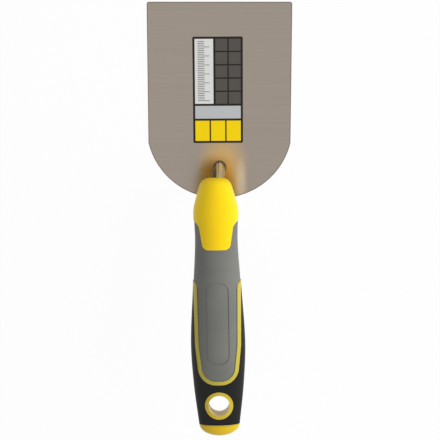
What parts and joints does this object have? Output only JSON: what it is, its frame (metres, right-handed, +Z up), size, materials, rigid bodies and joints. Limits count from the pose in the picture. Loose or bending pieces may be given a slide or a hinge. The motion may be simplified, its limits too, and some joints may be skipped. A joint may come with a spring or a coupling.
{
  "type": "putty knife",
  "caption": "Flexible putty knife: round-heeled stainless blade, bent rod neck, and a raised soft-grip handle with a hang hole.",
  "frame": {"origin": "on the underside of the blade, straight below the foot of the tang, with the blade lying flat", "axes": "+Y towards the working edge, +Z up from the blade's underside, +X to the right"},
  "size_m": [0.08, 0.2336, 0.0578],
  "materials": {
    "satin_steel": "satin, brushed across the blade",
    "bright_steel": "polished round rod",
    "weld_metal": "blasted weld bead",
    "yellow_plastic": "semi-gloss hard moulding",
    "grey_soft_grip": "matt soft-touch moulding",
    "black_soft_grip": "matt soft-touch moulding",
    "label_film": "printed film sticker"
  },
  "bodies": {
    "root": {"blade": "satin_steel", "tang": "bright_steel", "weld_bead": "weld_metal", "handle_core": "yellow_plastic", "grey_grip": "grey_soft_grip", "black_grip": "black_soft_grip", "label": "label_film"}
  },
  "joints": []
}
